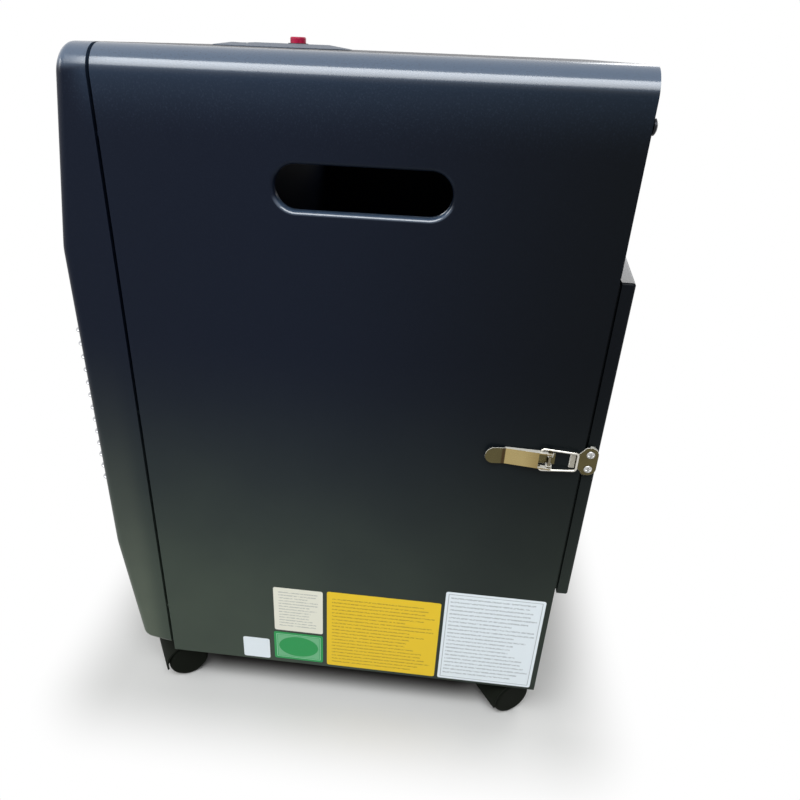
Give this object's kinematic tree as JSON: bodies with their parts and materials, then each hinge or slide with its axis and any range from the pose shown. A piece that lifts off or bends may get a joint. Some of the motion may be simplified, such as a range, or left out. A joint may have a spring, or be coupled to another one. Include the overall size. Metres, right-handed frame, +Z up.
{
  "type": "portable gas cabinet heater",
  "caption": "Portable gas cabinet heater on swivel casters: bent steel cabinet with hand-holds, guarded ceramic burners, top knob and igniter, and a latched lift-off rear cover.",
  "frame": {"origin": "on the floor, below the middle of the whole heater", "axes": "+X to the heater's right side, +Y to its rear, +Z up"},
  "size_m": [0.4388, 0.5516, 0.7506],
  "materials": {
    "cabinet_paint": "dark blue-grey satin powder coat",
    "zinc_steel": "zinc-plated sheet",
    "nickel_plate": "nickel-plated steel",
    "guard_chrome": "chromed wire",
    "reflector_steel": "aluminised steel",
    "burner_ceramic": "unglazed porous ceramic",
    "gas_brass": "machined brass",
    "copper_pipe": null,
    "lead_rubber": "silicone sleeve",
    "bezel_plastic": "grey-blue moulded",
    "black_plastic": "black moulded",
    "red_plastic": "crimson moulded",
    "caster_plastic": "black nylon",
    "caster_steel": "zinc-plated bar"
  },
  "bodies": {
    "cabinet": {"cabinet_wrap": "cabinet_paint", "front_fascia": "cabinet_paint", "wire_guard": "guard_chrome", "rear_upper_panel": "cabinet_paint", "base_tray": "zinc_steel", "partition": "cabinet_paint", "reflector_frame": "reflector_steel", "injectors": "gas_brass", "feed_pipes": "copper_pipe", "thermocouple": "copper_pipe", "pilot_burner": "reflector_steel", "pilot_pipe": "copper_pipe", "spark_electrode": "burner_ceramic", "ignition_lead": "lead_rubber", "control_bezel": "bezel_plastic", "gas_valve": "gas_brass", "piezo_igniter": "black_plastic", "gas_inlet": "gas_brass", "latch_rivets": "nickel_plate", "burner_plenum_left": "reflector_steel", "ceramic_plaque_left": "burner_ceramic", "burner_plenum_middle": "reflector_steel", "ceramic_plaque_middle": "burner_ceramic", "burner_plenum_right": "reflector_steel", "ceramic_plaque_right": "burner_ceramic", "latch_base_right": "nickel_plate", "latch_base_left": "nickel_plate", "latch_pins": "nickel_plate", "caster_sockets": "zinc_steel", "fascia_screws": "zinc_steel", "rear_panel_screws": "zinc_steel", "valve_screws": "zinc_steel"},
    "rear_cover": {"rear_cover": "cabinet_paint", "keeper_right": "nickel_plate", "keeper_left": "nickel_plate", "keeper_screws": "nickel_plate"},
    "valve_rotor": {"valve_rotor": "gas_brass"},
    "control_knob": {"control_knob": "black_plastic", "valve_spindle": "gas_brass"},
    "igniter_button": {"igniter_button": "red_plastic"},
    "latch_lever_right": {"latch_lever_right": "nickel_plate"},
    "latch_bail_right": {"latch_bail_right": "nickel_plate"},
    "latch_lever_left": {"latch_lever_left": "nickel_plate"},
    "latch_bail_left": {"latch_bail_left": "nickel_plate"},
    "caster_front_left": {"caster_front_left_hood": "caster_plastic", "caster_front_left_stem": "caster_steel"},
    "caster_front_left_wheels": {"caster_front_left_axle": "caster_steel", "caster_front_left_wheels": "caster_plastic"},
    "caster_front_right": {"caster_front_right_hood": "caster_plastic", "caster_front_right_stem": "caster_steel"},
    "caster_front_right_wheels": {"caster_front_right_axle": "caster_steel", "caster_front_right_wheels": "caster_plastic"},
    "caster_rear_left": {"caster_rear_left_hood": "caster_plastic", "caster_rear_left_stem": "caster_steel"},
    "caster_rear_left_wheels": {"caster_rear_left_axle": "caster_steel", "caster_rear_left_wheels": "caster_plastic"},
    "caster_rear_right": {"caster_rear_right_hood": "caster_plastic", "caster_rear_right_stem": "caster_steel"},
    "caster_rear_right_wheels": {"caster_rear_right_axle": "caster_steel", "caster_rear_right_wheels": "caster_plastic"}
  },
  "joints": [
    {"name": "rear_cover_pull", "type": "slide", "parent": "cabinet", "child": "rear_cover", "axis": [0, 1, 0], "range_m": [0, 0.4]},
    {"name": "latch_lever_right_swing", "type": "hinge", "parent": "cabinet", "child": "latch_lever_right", "pos_m": [0.216, 0.21575, 0.3915], "axis": [0, 0, 1], "range_deg": [0, 150]},
    {"name": "latch_bail_right_swing", "type": "hinge", "parent": "latch_lever_right", "child": "latch_bail_right", "pos_m": [0.21459, 0.20686, 0.3915], "axis": [0, 0, 1], "range_deg": [-150, 0]},
    {"name": "latch_lever_left_swing", "type": "hinge", "parent": "cabinet", "child": "latch_lever_left", "pos_m": [-0.216, 0.21575, 0.3915], "axis": [0, 0, -1], "range_deg": [0, 150]},
    {"name": "latch_bail_left_swing", "type": "hinge", "parent": "latch_lever_left", "child": "latch_bail_left", "pos_m": [-0.21459, 0.20686, 0.3915], "axis": [0, 0, -1], "range_deg": [-150, 0]},
    {"name": "control_knob_turn", "type": "hinge", "parent": "cabinet", "child": "valve_rotor", "pos_m": [0, -0.12325, 0.7112], "axis": [0, 0, 1], "range_deg": [0, 210]},
    {"name": "control_knob_push", "type": "slide", "parent": "valve_rotor", "child": "control_knob", "axis": [0, 0, -1], "range_m": [0, 0.005], "stiffness_N_per_m": 900, "springref_m": -0.003},
    {"name": "igniter_button_push", "type": "slide", "parent": "cabinet", "child": "igniter_button", "axis": [0, 0, -1], "range_m": [0, 0.0055], "stiffness_N_per_m": 700, "springref_m": -0.003},
    {"name": "caster_front_left_swivel", "type": "hinge", "parent": "cabinet", "child": "caster_front_left", "pos_m": [-0.164, -0.19425, 0.0615], "axis": [0, 0, 1], "continuous": true},
    {"name": "caster_front_left_roll", "type": "hinge", "parent": "caster_front_left", "child": "caster_front_left_wheels", "pos_m": [-0.15499, -0.20867, 0.025], "axis": [0.848, 0.5299, 0], "continuous": true},
    {"name": "caster_front_right_swivel", "type": "hinge", "parent": "cabinet", "child": "caster_front_right", "pos_m": [0.164, -0.19425, 0.0615], "axis": [0, 0, 1], "continuous": true},
    {"name": "caster_front_right_roll", "type": "hinge", "parent": "caster_front_right", "child": "caster_front_right_wheels", "pos_m": [0.17301, -0.20867, 0.025], "axis": [0.848, 0.5299, 0], "continuous": true},
    {"name": "caster_rear_left_swivel", "type": "hinge", "parent": "cabinet", "child": "caster_rear_left", "pos_m": [-0.164, 0.22875, 0.0615], "axis": [0, 0, 1], "continuous": true},
    {"name": "caster_rear_left_roll", "type": "hinge", "parent": "caster_rear_left", "child": "caster_rear_left_wheels", "pos_m": [-0.15499, 0.21433, 0.025], "axis": [0.848, 0.5299, 0], "continuous": true},
    {"name": "caster_rear_right_swivel", "type": "hinge", "parent": "cabinet", "child": "caster_rear_right", "pos_m": [0.164, 0.22875, 0.0615], "axis": [0, 0, 1], "continuous": true},
    {"name": "caster_rear_right_roll", "type": "hinge", "parent": "caster_rear_right", "child": "caster_rear_right_wheels", "pos_m": [0.17301, 0.21433, 0.025], "axis": [0.848, 0.5299, 0], "continuous": true}
  ],
  "couplings": [
    {"joint": "latch_bail_right_swing", "follows": "latch_lever_right_swing", "ratio": -1},
    {"joint": "latch_bail_left_swing", "follows": "latch_lever_left_swing", "ratio": -1}
  ]
}
